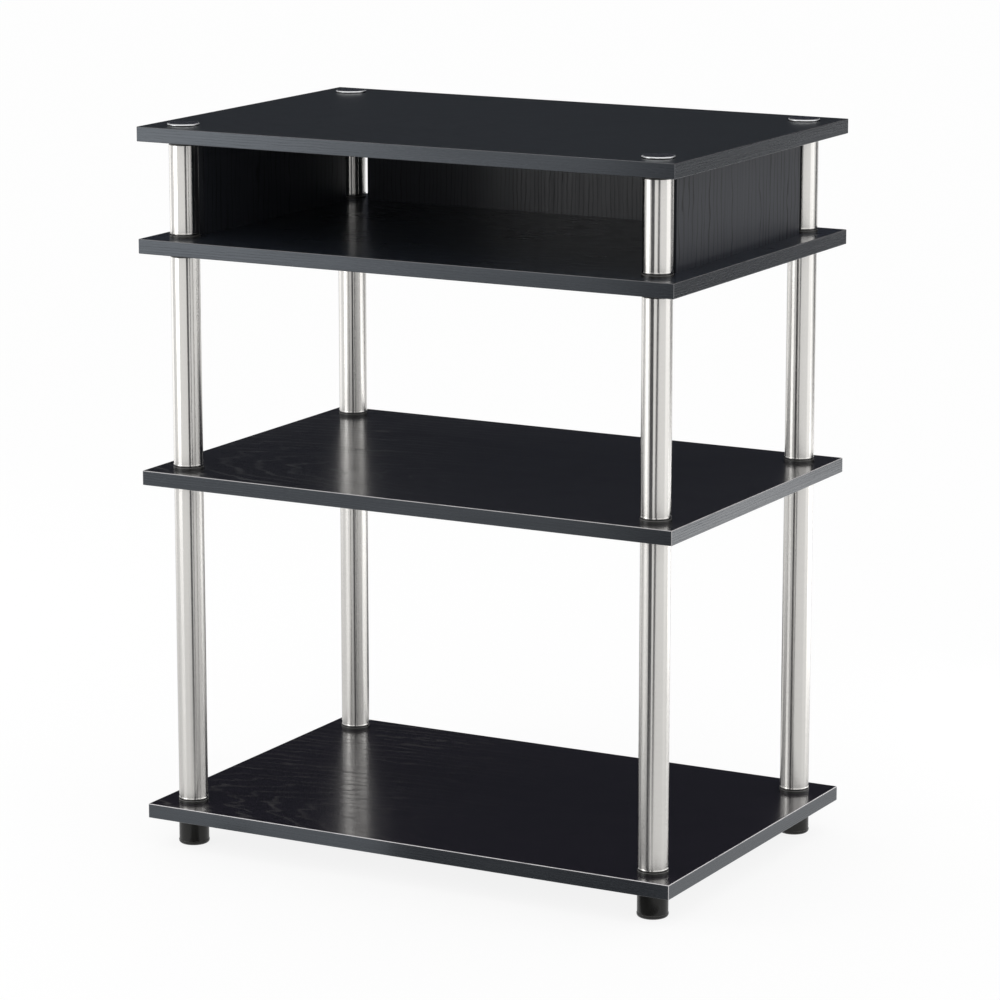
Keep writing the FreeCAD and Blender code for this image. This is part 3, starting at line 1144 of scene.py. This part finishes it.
@dataclass
class Studio:
    """White floor and surroundings, soft lamps, and felt and cards that only reflections see.

    The dark felt keeps the black faces black, the black cards draw the dark lines down the tubes, two of them lie
    on the floor in front as painted shade for the lower edges and the feet to mirror, and the grey mat dims the floor
    in the lower tubes.
    """

    floor_reach: float = 40.0
    floor_colour: Colour = (0.8, 0.8, 0.8)
    shadow_colour: Colour = (0.17, 0.17, 0.17)
    floor_glow: float = 0.86
    surround_light: float = 0.75
    black_felt: Colour = (0.024, 0.0255, 0.033)
    black_card: Colour = (0.085, 0.085, 0.09)
    grey_card: Colour = (0.78, 0.78, 0.78)
    back_drape: DrapeArc = DrapeArc("back_drape", middle_deg=118.5, sweep_deg=150.0, radius=8.0, height=14.0)
    lamps: tuple[Softbox, ...] = (
        Softbox(
            "left_softbox", place=(-1.15, -1.3, 0.66), aim=(-0.1, -0.1, 0.54), width=0.8, height=0.8, radiance=2.25),
        Softbox(
            "left_side_softbox", place=(-1.9, 0.2, 0.6), aim=(0.0, 0.0, 0.45), width=1.0, height=1.1, radiance=0.8),
        Softbox(
            "right_softbox", place=(1.9, 0.45, 0.75), aim=(0.1, 0.0, 0.45), width=1.1, height=1.4, radiance=0.52),
        Softbox(
            "low_strip", place=(0.68, 0.7, 0.14), aim=(0.3, 0.1, 0.18), width=0.8, height=0.27, radiance=1.6),
    )
    flags: tuple[Flag, ...] = (
        Flag("near_flag", ((0.06, -0.6), (0.28, -0.6)), ((0.06, -0.6), (0.28, -0.6)), low=0.004, high=0.9),
        Flag(
            "slim_flag", ((0.322, -0.566), (0.418, -0.539)), ((0.479, -0.511), (0.557, -0.444)), low=0.004, high=0.8),
        Flag("floor_flag", ((0.5, 2.1), (2.0, 1.27)), ((1.9, 4.8), (3.5, 3.95))),
        # Painted shade: the next two cards lie dark on the floor before the stand and its front-left foot, which the
        # lower edges and the feet mirror in place of the floor's shade.
        Flag("front_shade_card", ((-0.02, -0.185), (0.31, -0.185)), ((-0.2, -0.6), (0.15, -0.6))),
        Flag("foot_shade_card", ((-0.263, -0.183), (-0.251, -0.176)), ((-0.243, -0.274), (-0.169, -0.218))),
        Flag("back_flag", ((-0.5, 0.42), (-0.08, 0.42)), ((-0.6, 1.5), (-0.06, 1.5))),
    )
    mat: Flag = Flag("floor_mat", ((-1.5, -1.5), (1.5, -1.5)), ((-1.5, 1.5), (1.5, 1.5)), low=0.002, high=0.002)

    def build(self) -> None:
        """Lay the floor, hang the felt and the lamps and set the cards."""
        self.lay_floor()
        self.light_surround()
        self.back_drape.hang(self.cover("black_felt", self.black_felt))
        card = self.cover("black_card", self.black_card)
        for flag in self.flags:
            flag.put_up(card)
        self.mat.put_up(self.cover("grey_card", self.grey_card))
        for lamp in self.lamps:
            lamp.hang()

    def seen_directly(self, graph: Graph) -> Socket:
        """Tell the rays that show the background: from the camera, off a mirror or through glass.

        Args:
            graph: the tree of the floor's material or of the surroundings.

        Returns:
            The socket of a mask that is 1 for those rays.
        """
        path = graph.add("ShaderNodeLightPath").outputs
        mirrored = graph.math("MAXIMUM", path["Is Glossy Ray"], path["Is Transmission Ray"])
        return graph.math("MAXIMUM", path["Is Camera Ray"], mirrored)

    def lay_floor(self) -> None:
        """Pale floor that shows as white and keeps the stand's soft shadow."""
        pale = bpy.data.materials.new("studio_floor")
        pale.use_nodes = True
        pale.node_tree.nodes.clear()
        graph = Graph(pale.node_tree)
        lit = graph.add("ShaderNodeBsdfDiffuse", {"Color": self.floor_colour})
        shadowed = graph.add("ShaderNodeBsdfDiffuse", {"Color": self.shadow_colour})
        glow = graph.add("ShaderNodeEmission", {"Strength": self.floor_glow})
        shown = graph.add("ShaderNodeAddShader")
        graph.feed(shown.inputs[0], shadowed.outputs[0])
        graph.feed(shown.inputs[1], glow.outputs[0])
        mixed = graph.add("ShaderNodeMixShader", {"Fac": self.seen_directly(graph)})
        graph.feed(mixed.inputs[1], lit.outputs[0])
        graph.feed(mixed.inputs[2], shown.outputs[0])
        graph.add("ShaderNodeOutputMaterial", {"Surface": mixed.outputs[0]})
        reach = self.floor_reach
        corners = [(-reach, -reach, 0.0), (reach, -reach, 0.0), (reach, reach, 0.0), (-reach, reach, 0.0)]
        stage_piece("studio_floor", corners, [(0, 1, 2, 3)], pale)

    def light_surround(self) -> None:
        """White surroundings, which light the stand evenly."""
        world = bpy.data.worlds.new("studio_surround")
        world.use_nodes = True
        world.node_tree.nodes.clear()
        graph = Graph(world.node_tree)
        strength = graph.between(self.seen_directly(graph), self.surround_light, 1.0)
        white = graph.add("ShaderNodeBackground", {"Color": (1.0, 1.0, 1.0), "Strength": strength})
        graph.add("ShaderNodeOutputWorld", {"Surface": white.outputs[0]})
        bpy.context.scene.world = world

    def cover(self, name: str, glow: Colour) -> bpy.types.Material:
        """Felt or card that looks equally light all over.

        Args:
            name: what it is called.
            glow: how light it looks.

        Returns:
            Its material.
        """
        made = bpy.data.materials.new(name)
        made.use_nodes = True
        made.node_tree.nodes.clear()
        graph = Graph(made.node_tree)
        light = graph.add("ShaderNodeEmission", {"Color": glow})
        graph.add("ShaderNodeOutputMaterial", {"Surface": light.outputs[0]})
        return made


@dataclass
class ViewCamera:
    """Camera at the photograph's viewpoint."""

    station: Point = (2.0262, -3.7281, 1.2631)
    turn_deg: float = 28.457
    tilt_deg: float = 12.024
    lens_mm: float = 152.0
    sensor_mm: float = 36.0
    sight: float = 200.0

    def set_up(self) -> None:
        """Put the camera into the scene and look through it."""
        data = bpy.data.cameras.new("view_camera")
        data.lens = self.lens_mm
        data.sensor_width = self.sensor_mm
        data.clip_end = self.sight
        camera = bpy.data.objects.new("view_camera", data)
        camera.location = self.station
        camera.rotation_euler = (math.radians(RIGHT_ANGLE_DEG - self.tilt_deg), 0.0, math.radians(self.turn_deg))
        bpy.context.scene.collection.objects.link(camera)
        bpy.context.scene.camera = camera


def main() -> None:
    """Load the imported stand, dress it and set up the studio."""
    logging.basicConfig(level=logging.INFO, format="%(message)s")
    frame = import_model()
    stand = PackedStand(frame["nodes"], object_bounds())
    ViewCamera().set_up()
    BoardStack(stand).dress()
    Compartment(stand).dress()
    TubeColumns(stand).dress()
    ScrewedEnds(stand).dress()
    Studs(stand).build()
    Studio().build()
    bpy.context.scene.view_settings.view_transform = "Standard"


if __name__ == "__main__":
    main()
